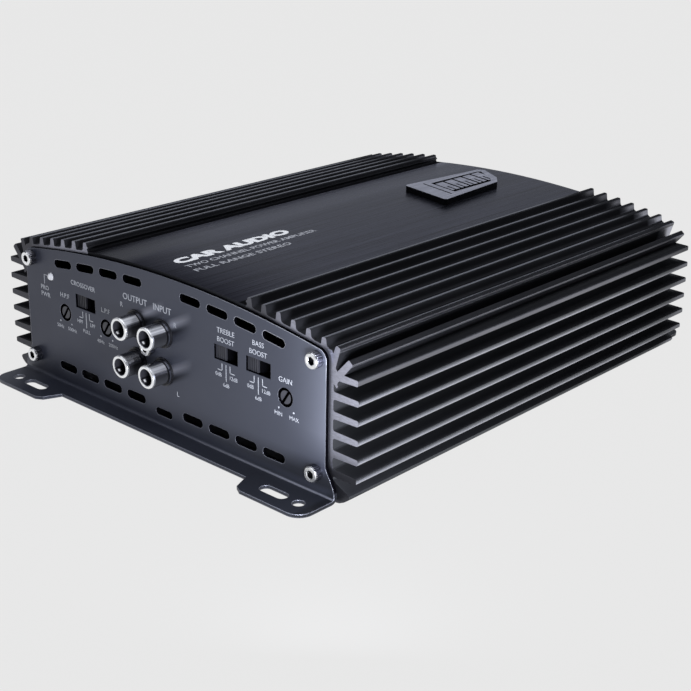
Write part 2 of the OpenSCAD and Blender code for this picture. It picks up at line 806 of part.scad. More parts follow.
// slotted clamping screw, backed out until its tip is just clear of the wire port
module terminal_screw(x, out, port_z, port_r, r, len) {
    mid_y = (2 * out - port_depth - 3.2) / 2;
    color(steel) translate([x, mid_y, port_z + port_r + 0.3]) difference() {
        union() {
            cylinder(h = 0.5, r1 = r - 0.4, r2 = r, $fn = fine);
            translate([0, 0, 0.5]) cylinder(h = len - 0.5, r = r, $fn = fine);
        }
        translate([0, 0, len]) rotate(20 + 7 * x) cube([2 * r + 1, 0.9, 2], center = true);
    }
}

module power_terminal_block() {
    terminal_block(power_x, power_x[1], power_half_w, power_out, power_top, power_port_z,
                   power_port_d / 2, power_cage_w, power_screw_r + 0.5);
}

module power_terminal_cages() {
    terminal_cages(power_x, power_out, power_top, power_port_z, power_port_d / 2, power_cage_w,
                   power_screw_r);
}

module power_screw(i) {
    terminal_screw(power_x[i], power_out, power_port_z, power_port_d / 2, power_screw_r, 8);
}

module ground_screw() { power_screw(0); }
module remote_screw() { power_screw(1); }
module supply_screw() { power_screw(2); }

module speaker_terminal_block() {
    terminal_block(speaker_x, speaker_mid, speaker_half_w, speaker_out, speaker_top, speaker_port_z,
                   speaker_port_d / 2, speaker_cage_w, speaker_screw_r + 0.5);
}

module speaker_terminal_cages() {
    terminal_cages(speaker_x, speaker_out, speaker_top, speaker_port_z, speaker_port_d / 2,
                   speaker_cage_w, speaker_screw_r);
}

module speaker_screw(i) {
    terminal_screw(speaker_x[i], speaker_out, speaker_port_z, speaker_port_d / 2,
                   speaker_screw_r, 6);
}

module speaker_screw_a() { speaker_screw(0); }
module speaker_screw_b() { speaker_screw(1); }
module speaker_screw_c() { speaker_screw(2); }
module speaker_screw_d() { speaker_screw(3); }

// ---------- fuses ----------

module fuse_holder() {
    color(black) difference() {
        block(fuse_x - 12, fuse_x + 12, end_y - 14, rear_y + 2, board_top, 39.5);
        for (z = fuse_z) {
            block(fuse_x - fuse_w / 2 - 0.4, fuse_x + fuse_w / 2 + 0.4, fuse_seat_y - 4,
                  rear_y + 3, z - fuse_t / 2 - 0.4, z + fuse_t / 2 + 0.4);
            for (s = [-1, 1])
                block(fuse_x + s * fuse_blade_x - 2.9, fuse_x + s * fuse_blade_x + 2.9,
                      end_y - 12.5, fuse_seat_y - 3, z - 1.6, z + 1.6);
        }
    }
}

// a pair of spring leaves each side of every blade
module fuse_contacts() {
    color(brass) for (z = fuse_z, s = [-1, 1], t = [-1, 1])
        block(fuse_x + s * fuse_blade_x - 2.7, fuse_x + s * fuse_blade_x + 2.7, end_y - 12.5,
              end_y - 3.5, z + t - 0.6, z + t + 0.6);
}

module fuse(z, tint) {
    color(tint) difference() {
        union() {
            block(fuse_x - fuse_w / 2, fuse_x + fuse_w / 2, fuse_seat_y + 3.4, end_y + 12.6,
                  z - fuse_t / 2, z + fuse_t / 2);
            block(fuse_x - fuse_w / 2 + 1.2, fuse_x + fuse_w / 2 - 1.2, fuse_seat_y - 3.6,
                  fuse_seat_y + 3.5, z - fuse_t / 2 + 0.5, z + fuse_t / 2 - 0.5);
        }
        for (s = [-1, 1], t = [-1, 1])
            block(fuse_x + s * 5.2 - 2.6, fuse_x + s * 5.2 + 2.6, fuse_seat_y + 5.4,
                  end_y + 10.8, z + t * 2.4 - 0.5, z + t * 2.4 + 0.5);
    }
    color(steel) for (s = [-1, 1])
        block(fuse_x + s * fuse_blade_x - 2.6, fuse_x + s * fuse_blade_x + 2.6, end_y - 9,
              fuse_seat_y - 3.6, z - 0.35, z + 0.35);
}

module fuse_a() { fuse(fuse_z[0], [0.10, 0.35, 0.75]); }
module fuse_b() { fuse(fuse_z[1], [0.10, 0.35, 0.75]); }

heatsink_shell();
bottom_cover();
bottom_cover_screws();
front_panel();
rear_panel();
front_panel_screws();
rear_panel_screws();
badge_plate();
main_board();
board_standoffs();
board_screws();
control_boards();
board_headers();
rca_housing();
output_r_shield();
output_l_shield();
input_r_shield();
input_l_shield();
rca_insulators();
rca_contacts();
rca_screw();
hpf_pot_body();
lpf_pot_body();
gain_pot_body();
hpf_rotor();
lpf_rotor();
gain_rotor();
crossover_switch_body();
treble_switch_body();
bass_switch_body();
crossover_slider();
treble_slider();
bass_slider();
power_led();
transformer_core();
transformer_winding();
filter_capacitors();
signal_capacitors();
power_transistors();
thermal_pads();
clamp_bars();
clamp_screws();
input_choke();
signal_chips();
power_terminal_block();
power_terminal_cages();
ground_screw();
remote_screw();
supply_screw();
speaker_terminal_block();
speaker_terminal_cages();
speaker_screw_a();
speaker_screw_b();
speaker_screw_c();
speaker_screw_d();
fuse_holder();
fuse_contacts();
fuse_a();
fuse_b();
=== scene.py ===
"""Looks for the car amplifier: camera, materials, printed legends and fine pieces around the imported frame."""

import json
import math

import bmesh
import bpy
from mathutils import Matrix, Vector


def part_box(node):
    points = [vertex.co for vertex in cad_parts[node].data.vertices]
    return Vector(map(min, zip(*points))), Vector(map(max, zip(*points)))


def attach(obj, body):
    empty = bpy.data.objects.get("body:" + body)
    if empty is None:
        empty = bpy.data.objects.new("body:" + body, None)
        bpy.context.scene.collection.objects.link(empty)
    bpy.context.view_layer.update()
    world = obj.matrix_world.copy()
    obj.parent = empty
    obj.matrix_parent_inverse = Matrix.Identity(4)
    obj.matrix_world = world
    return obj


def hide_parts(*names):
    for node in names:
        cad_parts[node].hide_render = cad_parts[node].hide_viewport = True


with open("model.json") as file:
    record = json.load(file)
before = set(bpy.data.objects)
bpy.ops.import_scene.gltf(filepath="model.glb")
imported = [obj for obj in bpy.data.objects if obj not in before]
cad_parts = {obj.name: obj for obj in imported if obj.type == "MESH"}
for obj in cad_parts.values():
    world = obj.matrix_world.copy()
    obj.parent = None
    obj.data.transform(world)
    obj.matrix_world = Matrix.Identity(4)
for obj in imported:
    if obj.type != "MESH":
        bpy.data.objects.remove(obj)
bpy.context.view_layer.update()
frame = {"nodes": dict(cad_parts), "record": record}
MM = 0.001

# ---------- places taken from the frame ----------

shell_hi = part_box("heatsink_shell")[1]
END_Y = shell_hi[1]                      # the extrusion's end face
SHEET = 1.2 * MM                         # thickness of the end panels
FACE_Y = -END_Y - SHEET                  # outer face of the front panel
REAR_Y = END_Y + SHEET
TIP_X = shell_hi[0]                      # tips of the side fins
DECK_Z = 57.3 * MM                       # crown of the deck
DECK_R = 437 * MM
DECK_HALF = 40.5 * MM
# past this half width, up to DECK_HALF, the deck is painted near black as painted shade beside the first fins
BRUSHED_HALF = 37.2 * MM                 # half width of the brushed part of the deck
FRONT_Y = -98 * MM                       # just inside the extrusion's front end
CORNER_Z = 41 * MM                       # between the side fins and the corner fins
ARCH = 790 * MM                          # the top fins' tips fall by x squared over this


def middle(node):
    """The middle of a node's box."""
    lo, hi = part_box(node)
    return Vector([(a + b) / 2 for a, b in zip(lo, hi)])


def crown(x):
    """Height of the deck at x."""
    return DECK_Z - DECK_R + math.sqrt(DECK_R ** 2 - x * x)


# ---------- camera ----------

CAMERA_AT = Vector((0.3355, -0.3790, 0.1988))
CAMERA_AZIMUTH = math.radians(42.14)     # left of +Y
CAMERA_DOWN = math.radians(20.83)
CAMERA_ROLL = math.radians(0.94)
CAMERA_LENS = 71.1
CAMERA_SHIFT = (0.0049, -0.0078)


def add_camera():
    data = bpy.data.cameras.new("camera")
    data.lens = CAMERA_LENS
    data.sensor_width = 36
    data.shift_x, data.shift_y = CAMERA_SHIFT
    data.clip_start = 0.01
    camera = bpy.data.objects.new("camera", data)
    bpy.context.scene.collection.objects.link(camera)
    turn = Matrix.Rotation(CAMERA_AZIMUTH, 4, "Z") @ Matrix.Rotation(math.pi / 2 - CAMERA_DOWN, 4, "X")
    camera.matrix_world = Matrix.Translation(CAMERA_AT) @ turn @ Matrix.Rotation(CAMERA_ROLL, 4, "Z")
    bpy.context.scene.camera = camera


add_camera()

# ---------- material helpers ----------


class Shader:
    """A principled material with short calls for the procedural nodes around it."""

    def __init__(self, name, base=(0.5, 0.5, 0.5), metallic=0.0, rough=0.5, **sockets):
        self.mat = bpy.data.materials.new(name)
        self.mat.use_nodes = True
        self.tree = self.mat.node_tree
        self.bsdf = self.tree.nodes["Principled BSDF"]
        self.place = self.tree.nodes.new("ShaderNodeTexCoord").outputs["Object"]
        self.set("Base Color", (*base, 1))
        self.set("Metallic", metallic)
        self.set("Roughness", rough)
        for key, value in sockets.items():
            self.set(key.replace("_", " "), value)

    def set(self, socket, value):
        self.bsdf.inputs[socket].default_value = value

    def link(self, output, socket):
        self.tree.links.new(output, self.bsdf.inputs[socket])

    def node(self, kind, inputs=(), **settings):
        node = self.tree.nodes.new(kind)
        for key, value in settings.items():
            setattr(node, key, value)
        for key, value in dict(inputs).items():
            if isinstance(value, bpy.types.NodeSocket):
                self.tree.links.new(value, node.inputs[key])
            else:
                node.inputs[key].default_value = value
        return node

    def scaled(self, scale):
        """Object coordinates stretched by scale along each axis."""
        return self.node("ShaderNodeMapping", {"Vector": self.place, "Scale": scale}).outputs["Vector"]

    def noise(self, scale, detail=4.0, rough=0.6, stretch=(1, 1, 1)):
        return self.node("ShaderNodeTexNoise", {"Vector": self.scaled(stretch), "Scale": scale,
                                                "Detail": detail, "Roughness": rough}).outputs["Fac"]

    def ramp(self, value, low, high, to_low, to_high):
        """Maps value from low..high to to_low..to_high, held at both ends."""
        node = self.node("ShaderNodeMapRange", {"Value": value, "From Min": low, "From Max": high,
                                                "To Min": to_low, "To Max": to_high})
        node.clamp = True
        return node.outputs["Result"]

    def math(self, operation, a, b=0.0):
        return self.node("ShaderNodeMath", {0: a, 1: b}, operation=operation).outputs[0]

    def mix(self, factor, a, b):
        node = self.node("ShaderNodeMix", data_type="RGBA")
        for socket, value in ((0, factor), (6, a), (7, b)):
            if isinstance(value, bpy.types.NodeSocket):
                self.tree.links.new(value, node.inputs[socket])
            else:
                node.inputs[socket].default_value = value if socket == 0 else (*value, 1)
        return node.outputs[2]

    def times(self, *masks):
        """All masks multiplied together."""
        result = masks[0]
        for mask in masks[1:]:
            result = self.math("MULTIPLY", result, mask)
        return result

    def less(self, a, b):
        return self.math("SUBTRACT", a, b)

    def size(self, a):
        return self.math("ABSOLUTE", a)

    def facing(self, name, low, high):
        """Where the surface faces along an axis, rising from low to high."""
        return self.ramp(self.normal(name), low, high, 0, 1)

    def vary(self, scale, detail, rough, low, high, stretch=(1, 1, 1)):
        """A value that wanders from low to high; most of a noise lies between 0.3 and 0.7."""
        return self.ramp(self.noise(scale, detail, rough, stretch), 0.3, 0.7, low, high)

    def bump(self, height, strength, distance):
        node = self.node("ShaderNodeBump", {"Height": height, "Strength": strength, "Distance": distance})
        self.link(node.outputs["Normal"], "Normal")

    def axis(self, socket, name):
        """One part of a vector socket."""
        return self.node("ShaderNodeSeparateXYZ", {0: socket}).outputs[name]

    def away(self, node):
        """Distance from the middle line of a round part that runs along Y."""
        at = middle(node)
        from_line = self.node("ShaderNodeVectorMath", {0: self.place, 1: (at.x, 0, at.z)}, operation="SUBTRACT")
        flat = self.node("ShaderNodeVectorMath", {0: from_line.outputs[0], 1: (1, 0, 1)}, operation="MULTIPLY")
        return self.node("ShaderNodeVectorMath", {0: flat.outputs[0]}, operation="LENGTH").outputs["Value"]

    def normal(self, name):
        """One part of the surface's own direction, in the object's axes."""
        coords = self.tree.nodes.new("ShaderNodeTexCoord")
        return self.axis(coords.outputs["Normal"], name)


def paint(node, shader):
    """Gives a CAD node's object one material in every slot."""
    data = frame["nodes"][node].data
    if not data.materials:
        data.materials.append(shader.mat)
    for i in range(len(data.materials)):
        data.materials[i] = shader.mat


# ---------- materials ----------


def fin_tip_highlights(s, x, y, z):
    """Masks for painted highlights on the fins' rolled tips: the side and corner fins, and the top fins."""
    rolled = s.node("ShaderNodeBevel", {"Radius": 0.9 * MM}, samples=6).outputs["Normal"]
    across, up = s.axis(rolled, "X"), s.axis(rolled, "Z")
    # the corner fins lean, so their tips are found along a slant
    slant = s.math("ADD", s.math("MULTIPLY", x, 0.6), s.math("MULTIPLY", z, 0.8))
    corner = s.ramp(slant, 88.4 * MM, 88.7 * MM, 0, 1)
    side = s.ramp(x, TIP_X - 1.1 * MM, TIP_X - 0.8 * MM, 0, 1)
    above = s.ramp(z, CORNER_Z - 0.2 * MM, CORNER_Z + 0.2 * MM, 0, 1)
    # painted highlight: on the side fins only the lower part of each rolled end, which faces the bright floor, is lit
    below = s.mix(above, s.ramp(up, -0.15, 0.05, 1, 0), s.ramp(up, 0.1, 0.7, 1, 0))
    outward = s.size(across)
    out = s.mix(above, s.ramp(outward, 0.60, 0.80, 0, 1), s.ramp(outward, 0.45, 0.65, 0, 1))
    tip_highlight = s.times(s.math("MAXIMUM", s.times(side, below), s.times(corner, s.ramp(up, 0.0, 0.2, 1, 0))), out)
    # the top fins get a thin painted highlight on the inner edge, fading out before the far end
    arch = s.math("ADD", z, s.math("MULTIPLY", s.times(x, x), 1 / ARCH))
    top = s.times(s.ramp(arch, 59.8 * MM, 60.0 * MM, 0, 1), s.ramp(x, DECK_HALF - 0.4 * MM, DECK_HALF, 0, 1),
                  s.ramp(across, -0.55, -0.35, 0, 1), s.ramp(across, 0.05, 0.20, 1, 0),
                  s.ramp(y, 60 * MM, 85 * MM, 1, 0), s.ramp(x, 44 * MM, 46 * MM, 0.6, 1))
    return tip_highlight, top, above, arch


def black_with_painted_light(s, x, y, z, cloud):
    """The black itself, with painted light: paler on the wall and deep down between the side fins, and painted shade
    on the strip beside the deck.
    """
    black = s.mix(s.ramp(cloud, 0.3, 0.7, 0, 1), (0.016, 0.0165, 0.019), (0.024, 0.0245, 0.028))
    # painted light: the root wall between the side fins is made paler to lift its shade
    wall = s.times(s.ramp(x, 76 * MM, 78 * MM, 0, 1), s.ramp(y, -95 * MM, -30 * MM, 0.2, 1),
                   s.ramp(z, CORNER_Z - 1 * MM, CORNER_Z, 1, 0), s.ramp(s.size(s.normal("X")), 0.7, 0.85, 0, 1))
    black = s.mix(wall, black, (0.125, 0.130, 0.135))
    # painted light: the side fins' upper flanks are paler the deeper they lie between the fins
    deep = s.times(s.ramp(x, 79 * MM, 86.5 * MM, 1, 0), s.ramp(y, FRONT_Y, 40 * MM, 0.15, 1),
                   s.ramp(z, 6 * MM, 34 * MM, 0.3, 1), s.ramp(z, 43 * MM, 44 * MM, 1, 0), s.facing("Z", 0.7, 0.8))
    black = s.mix(deep, black, (0.235, 0.245, 0.255))
    # painted shade: the strip of deck beside the first fins, outside the brushed part, is near black
    strip = s.times(s.ramp(x, DECK_HALF, DECK_HALF + 0.3 * MM, 1, 0), s.facing("Z", 0.7, 0.8))
    return s.mix(strip, black, (0.004, 0.004, 0.005))


def brushed_with_painted_light(s, east, y, streak):
    """Brushed deck: fine lines along Y, a painted reflection as a broad paler band on one side, painted light along
    the -X edge and painted shade along the front edge.
    """
    broad = s.noise(1.0, 3, 0.5, (420, 7, 420))
    grain = s.math("ADD", s.math("MULTIPLY", streak, 0.7), s.math("MULTIPLY", broad, 0.3))
    brushed = s.mix(s.ramp(grain, 0.36, 0.62, 0, 1), (0.021, 0.022, 0.032), (0.086, 0.090, 0.123))
    # painted reflection: a broad pale sheen band about 24 mm towards -X, weaker at the front
    band = s.ramp(s.size(s.math("ADD", east, 24 * MM)), 3 * MM, 11 * MM, 1, 0)
    sheen = s.times(s.ramp(band, 0, 1, 0, 0.55), s.ramp(y, -97 * MM, -40 * MM, 0.3, 1))
    brushed = s.mix(sheen, brushed, (0.150, 0.155, 0.195))
    # painted light: paler towards the -X edge, where the first fin shades the deck
    brushed = s.mix(s.ramp(east, -38 * MM, -30 * MM, 0.75, 0), brushed, (0.40, 0.41, 0.50))
    # painted shade: darker along the front edge
    return s.mix(s.ramp(y, -97 * MM, -55 * MM, 0.82, 0), brushed, (0.008, 0.008, 0.012))


def sawn_painted_light(s, east, z):
    """Sawn ends with painted light: paler on the upper fins and towards +X, and painted shade low down."""
    lit_sawn_tone = (0.062, 0.063, 0.075)
    # painted light: the sawn ends' tone changes across X, brightest towards +X
    for start, stop, tone in ((-75, -58, (0.310, 0.318, 0.385)), (-40, 40, (0.125, 0.128, 0.150)),
                              (49, 58, (0.43, 0.44, 0.53)), (76, 88, (0.56, 0.57, 0.68))):
        lit_sawn_tone = s.mix(s.ramp(east, start * MM, stop * MM, 0, 1), lit_sawn_tone, tone)
    # painted shade: darker low down
    lit_sawn_tone = s.mix(s.ramp(z, 10.5 * MM, 18.5 * MM, 0.95, 0), lit_sawn_tone, (0.045, 0.046, 0.054))
    return s.mix(s.vary(1.0, 3, 0.6, 0, 0.3, (700, 700, 2400)), lit_sawn_tone, (0.06, 0.06, 0.07))


def tip_highlight_tone(s, y, z, cloud, above):
    """Painted highlight on the fins' rolled tips, with random tone, dying out towards the far end and thinner on the
    corner fins.
    """
    faded_tip_tone = (0.03, 0.03, 0.036)
    tip_gleam = s.mix(s.ramp(cloud, 0.35, 0.65, 0, 1), (0.50, 0.51, 0.58), (0.70, 0.71, 0.79))
    tip_gleam = s.mix(s.ramp(y, -40 * MM, 40 * MM, 0, 0.15), tip_gleam, (0.12, 0.12, 0.14))
    tip_gleam = s.mix(s.ramp(y, 60 * MM, 95 * MM, 0, 0.8), tip_gleam, faded_tip_tone)
    return s.mix(s.times(above, s.ramp(z, 45 * MM, 47 * MM, 0.62, 0.35)), tip_gleam, faded_tip_tone)


def anodised():
    """Black anodised extrusion: brushed deck, glossy fins, with painted light and shade, a painted reflection near
    the far end, painted light on the sawn ends and painted highlights along the rolled tips.
    """
    s = Shader("anodised", Specular_IOR_Level=0.01, IOR=1.2)
    east, y, z = s.axis(s.place, "X"), s.axis(s.place, "Y"), s.axis(s.place, "Z")
    x = s.size(east)
    streak = s.noise(1.0, 6, 0.7, (2600, 16, 2600))
    cloud = s.noise(22, 4, 0.6)
    deck = s.times(s.ramp(x, BRUSHED_HALF - 0.3 * MM, BRUSHED_HALF, 1, 0), s.facing("Z", 0.7, 0.8))
    cut = s.times(s.ramp(s.size(s.normal("Y")), 0.8, 0.9, 0, 1),
                  s.ramp(x, DECK_HALF - 0.4 * MM, DECK_HALF - 0.2 * MM, 0, 1))
    tip_highlight, top, above, arch = fin_tip_highlights(s, x, y, z)
    # painted reflection: a dull pale patch on the outward flanks just short of the far end
    end_reflection = s.times(s.ramp(y, 87 * MM, 95 * MM, 0, 1), s.facing("X", 0.75, 0.92),
                    s.math("MAXIMUM", s.ramp(arch, 57.5 * MM, 59.5 * MM, 0, 1), s.ramp(z, 53 * MM, 55 * MM, 1, 0)))
    shine = s.mix(s.ramp(z, 43 * MM, 45 * MM, 0, 1), (0.16, 0.165, 0.19), (0.42, 0.43, 0.50))
    shine = s.mix(s.ramp(z, 52 * MM, 56 * MM, 0, 1), shine, (0.09, 0.092, 0.11))
    colour = s.mix(deck, black_with_painted_light(s, x, y, z, cloud), brushed_with_painted_light(s, east, y, streak))
    colour = s.mix(end_reflection, colour, shine)
    # painted highlight: a thin line on the top fins
    colour = s.mix(top, colour, (0.30, 0.31, 0.35))
    # painted highlights on the rolled tips
    colour = s.mix(tip_highlight, colour, tip_highlight_tone(s, y, z, cloud, above))
    # painted light on the sawn ends
    s.link(s.mix(cut, colour, sawn_painted_light(s, east, z)), "Base Color")
    # the deck's front edge is duller, except under the painted sheen band
    dull = s.math("MAXIMUM", s.ramp(y, FRONT_Y, -66 * MM, 0.1, 1), s.ramp(east, -22 * MM, -14 * MM, 1, 0))
    shiny = s.times(deck, dull)
    for mask in (cut, end_reflection, tip_highlight, top):
        shiny = s.math("MAXIMUM", shiny, mask)
    s.link(shiny, "Metallic")
    rough = s.math("ADD", s.ramp(streak, 0.3, 0.7, 0.24, 0.34), s.math("MULTIPLY", cut, 0.10))
    s.link(s.math("ADD", rough, s.math("MULTIPLY", tip_highlight, 0.12)), "Roughness")
    s.bump(s.times(streak, deck), 0.35, 0.00002)
    return s


# painted reflections beside the jacks: the centre of each, then a pale painted reflection streak and a painted shadow
# streak below it
JACK_REFLECTION_SPOTS = ((-7.0 * MM, 41.3 * MM), (6.8 * MM, 40.8 * MM), (6.4 * MM, 24 * MM))
REFLECTION_AND_SHADOW_STREAKS = ((0, 2.6 * MM, (0.36, 0.37, 0.43)), (3.0 * MM, 1.9 * MM, (0.008, 0.009, 0.013)))   # drop, width, tone


def panel_tone_with_painted_light(s, x, z):
    """The panel's paint with painted light: paler towards +X and a painted highlight beside the rounded edge, painted
    shade low down, and painted reflections and shadows beside the jacks.
    """
    # painted light: the paint grows paler towards +X
    coat_and_light = s.mix(s.ramp(x, -75 * MM, 45 * MM, 0, 1), (0.044, 0.049, 0.073), (0.067, 0.074, 0.102))
    # painted highlight towards the right-hand rounded edge
    edge = s.math("POWER", s.ramp(x, 44 * MM, 79 * MM, 0, 1), 3.5)
    coat_and_light = s.mix(s.times(edge, s.ramp(z, 11 * MM, 22 * MM, 0, 1)), coat_and_light, (0.230, 0.248, 0.315))
    # painted shade: the feet and the lip are darker towards +X; painted light: the far end of the other foot is paler
    low = s.ramp(z, 2 * MM, 6 * MM, 1, 0)
    foot = s.math("MAXIMUM", s.ramp(x, 0, 50 * MM, 0.2, 0.7), s.ramp(x, 72 * MM, 78 * MM, 0, 0.95))
    coat_and_light = s.mix(s.times(low, foot), coat_and_light, (0.012, 0.013, 0.016))
    # painted shade above the fold, deeper towards +X
    flare = s.times(s.ramp(z, 3 * MM, 5 * MM, 0, 1), s.ramp(z, 7 * MM, 13 * MM, 1, 0),
                    s.ramp(x, 0, 70 * MM, 0.15, 0.85))
    coat_and_light = s.mix(flare, coat_and_light, (0.014, 0.015, 0.018))
    # painted light on the far end of the -X foot
    coat_and_light = s.mix(s.times(low, s.ramp(x, -80 * MM, -62 * MM, 1, 0)), coat_and_light, (0.12, 0.125, 0.145))
    # painted reflections of the jacks beside them, each a slanting pale streak with a painted shadow streak under it
    for at_x, at_z in JACK_REFLECTION_SPOTS:
        along = s.less(x, at_x)
        over = s.less(s.less(z, at_z), s.math("MULTIPLY", along, 0.5))
        reach = s.times(s.ramp(along, -5 * MM, -2 * MM, 0, 1), s.ramp(along, -1 * MM, 9 * MM, 1, 0))
        for drop, width, tone in REFLECTION_AND_SHADOW_STREAKS:
            near = s.ramp(s.size(s.math("ADD", over, drop)), 0, width, 0.95, 0)
            coat_and_light = s.mix(s.times(reach, near), coat_and_light, tone)
    # a painted highlight along the fold
    up = s.normal("Z")
    fold = s.times(s.ramp(up, 0.42, 0.62, 0, 1), s.ramp(up, 0.80, 0.95, 1, 0),
                   low, s.ramp(x, -30 * MM, 60 * MM, 0.15, 1))
    coat_and_light = s.mix(fold, coat_and_light, (0.17, 0.175, 0.21))
    return s.mix(s.vary(14, 5, 0.6, 0, 0.18), coat_and_light, (0.030, 0.033, 0.044))


def panel_paint():
    """Satin blue-grey paint on folded steel: fine orange peel, a painted highlight along the pressed edges."""
    s = Shader("panel_paint", rough=0.38)
    x, z = s.axis(s.place, "X"), s.axis(s.place, "Z")
    rounded = s.node("ShaderNodeBevel", {"Radius": 0.45 * MM}, samples=6).outputs["Normal"]
    true_normal = s.node("ShaderNodeNewGeometry").outputs["True Normal"]
    turned = s.node("ShaderNodeVectorMath", {0: rounded, 1: true_normal}, operation="DOT_PRODUCT")
    # the switch windows' edges get no painted highlight
    level = s.times(s.ramp(z, 32 * MM, 33 * MM, 0, 1), s.ramp(z, 40 * MM, 41 * MM, 1, 0),
                    s.ramp(x, 60 * MM, 62 * MM, 1, 0))
    # painted highlight on the rounded edges, brighter towards the upper right
    rim = s.times(s.ramp(turned.outputs["Value"], 0.99, 0.90, 0, 1), s.less(1.0, level))
    crest = s.times(s.ramp(x, 10 * MM, 72 * MM, 0, 1), s.ramp(z, 40 * MM, 48 * MM, 0, 1))
    colour = s.mix(rim, panel_tone_with_painted_light(s, x, z), s.mix(crest, (0.26, 0.27, 0.32), (0.80, 0.82, 0.90)))
    # painted shade: the sheared edge of the sheet, above the fold, is black and does not reflect
    sheared = s.times(s.ramp(s.size(s.normal("Y")), 0.4, 0.6, 1, 0), s.ramp(z, 3.2 * MM, 3.6 * MM, 0, 1))
    raised = s.less(1.0, sheared)
    s.link(s.mix(sheared, colour, (0.002, 0.002, 0.003)), "Base Color")
    s.link(s.math("MULTIPLY", raised, 0.55), "Metallic")
    s.link(s.math("MULTIPLY", raised, 0.5), "Specular IOR Level")
    s.link(s.vary(60, 4, 0.6, 0.34, 0.44), "Roughness")
    bump = s.node("ShaderNodeBump", {"Height": s.noise(1900, 3, 0.6), "Strength": 0.12, "Distance": 0.00003,
                                     "Normal": rounded})
    s.link(bump.outputs["Normal"], "Normal")
    return s


def chrome():
    """Nickel plating: a painted highlight on the faces turned outward, painted shade down the duller sides."""
    s = Shader("chrome", metallic=1.0)
    # painted highlight on the faces turned along Y
    facing = s.ramp(s.size(s.normal("Y")), 0.45, 0.8, 0, 1)
    side = s.mix(s.vary(180, 3, 0.6, 0, 1), (0.42, 0.43, 0.46), (0.50, 0.51, 0.54))
    s.link(s.mix(facing, side, (0.90, 0.91, 0.93)), "Base Color")
    s.link(s.vary(260, 4, 0.6, 0.16, 0.24), "Roughness")
    return s


BORE_R = 3.0 * MM                        # the shields' bore
FLANGE_T = 1.25 * MM                     # how far the shields' flange stands out of the panel


def jack_plating(node, highlight_strength=1.0):
    """Nickel shield: a painted highlight on the rim and along the top, painted shade underneath and in the bore with
    one painted glint, and a flange in the panel's tone against the panel.
    """
    s = Shader(node + "_plating", metallic=0.8)
    y, up = s.axis(s.place, "Y"), s.normal("Z")
    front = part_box(node)[0][1]
    drawn = s.noise(1.0, 3, 0.6, (1100, 8, 1100))
    side = s.mix(s.ramp(drawn, 0.35, 0.65, 0, 1), (0.08, 0.08, 0.09), (0.20, 0.20, 0.23))
    # painted highlight: a pale streak along the upward-facing side
    streak = s.times(s.ramp(up, 0.42, 0.58, 0, 1), s.ramp(up, 0.90, 0.99, 1, 0),
                     s.ramp(drawn, 0.38, 0.55, 0.6 * highlight_strength, highlight_strength))
    side = s.mix(streak, side, (0.90, 0.91, 0.95))
    # painted shade on the underside
    lower = s.ramp(up, 0.25, 0.42, 1, 0)
    side = s.mix(lower, side, s.mix(s.ramp(up, -0.5, 0.2, 0, 1), (0.060, 0.062, 0.070), (0.022, 0.022, 0.026)))
    # the flange is black at its face, has painted shade at its foot against the panel, and a painted highlight where
    # the streak runs on
    flange = s.mix(s.ramp(y, FACE_Y - FLANGE_T, FACE_Y - FLANGE_T + 0.1 * MM, 0, 1),
                   (0.008, 0.008, 0.011), (0.046, 0.049, 0.062))
    flange = s.mix(s.ramp(y, FACE_Y - 0.35 * MM, FACE_Y - 0.25 * MM, 0, 1), flange, (0.002, 0.002, 0.003))
    flange = s.mix(s.times(streak, s.ramp(s.normal("X"), 0.1, 0.3, 0, 0.8)), flange, (0.30, 0.31, 0.36))
    colour = s.mix(s.ramp(y, FACE_Y - 1.60 * MM, FACE_Y - 1.50 * MM, 0, 1), side, flange)
    # painted shade: the bore is dark, with one painted glint low inside it
    away = s.away(node)
    inside = s.ramp(away, BORE_R - 0.05 * MM, BORE_R + 0.05 * MM, 1, 0)
    bore_glint = s.times(s.ramp(y, front + 0.8 * MM, front + 1.0 * MM, 0, 1),
                   s.ramp(y, front + 1.6 * MM, front + 1.9 * MM, 1, 0),
                   s.ramp(up, 0.56, 0.62, 0, 1), s.ramp(up, 0.80, 0.86, 1, 0), s.facing("X", 0.1, 0.2), inside)
    colour = s.mix(inside, colour, s.mix(bore_glint, (0.05, 0.05, 0.06), (1.0, 1.0, 1.0)))
    # painted highlight on the front rim
    rim = s.times(s.ramp(away, BORE_R, BORE_R + 0.1 * MM, 0, 1), s.ramp(y, front + 0.9 * MM, front + 1.0 * MM, 1, 0))
    s.link(s.mix(rim, colour, (0.92, 0.93, 0.95)), "Base Color")
    dull = s.times(lower, s.less(1.0, rim))
    shiny = s.times(s.ramp(streak, 0, 1, 0.85, 0.45), s.ramp(dull, 0, 1, 1, 0.15), s.less(1.0, bore_glint))
    s.link(shiny, "Metallic")
    s.link(s.ramp(dull, 0, 1, 0.5, 0.15), "Specular IOR Level")
    s.link(s.vary(120, 2, 0.6, 0.22, 0.26), "Roughness")
    return s


def screw_plating():
    """Cap screws: a painted highlight on the turned face, and the knurled sides dark as painted shade."""
    s = Shader("screw_plating", metallic=1.0)
    # painted highlight on the faces turned along Y
    facing = s.ramp(s.size(s.normal("Y")), 0.3, 0.6, 0, 1)
    side = s.mix(s.vary(300, 3, 0.6, 0, 1), (0.10, 0.10, 0.12), (0.16, 0.16, 0.18))
    s.link(s.mix(facing, side, (0.90, 0.91, 0.93)), "Base Color")
    s.link(s.vary(260, 4, 0.6, 0.24, 0.34), "Roughness")
    return s


def zinc():
    s = Shader("zinc", metallic=1.0)
    s.link(s.mix(s.vary(400, 4, 0.7, 0, 1), (0.55, 0.56, 0.58), (0.72, 0.73, 0.74)), "Base Color")
    s.link(s.vary(900, 3, 0.6, 0.22, 0.38), "Roughness")
    return s


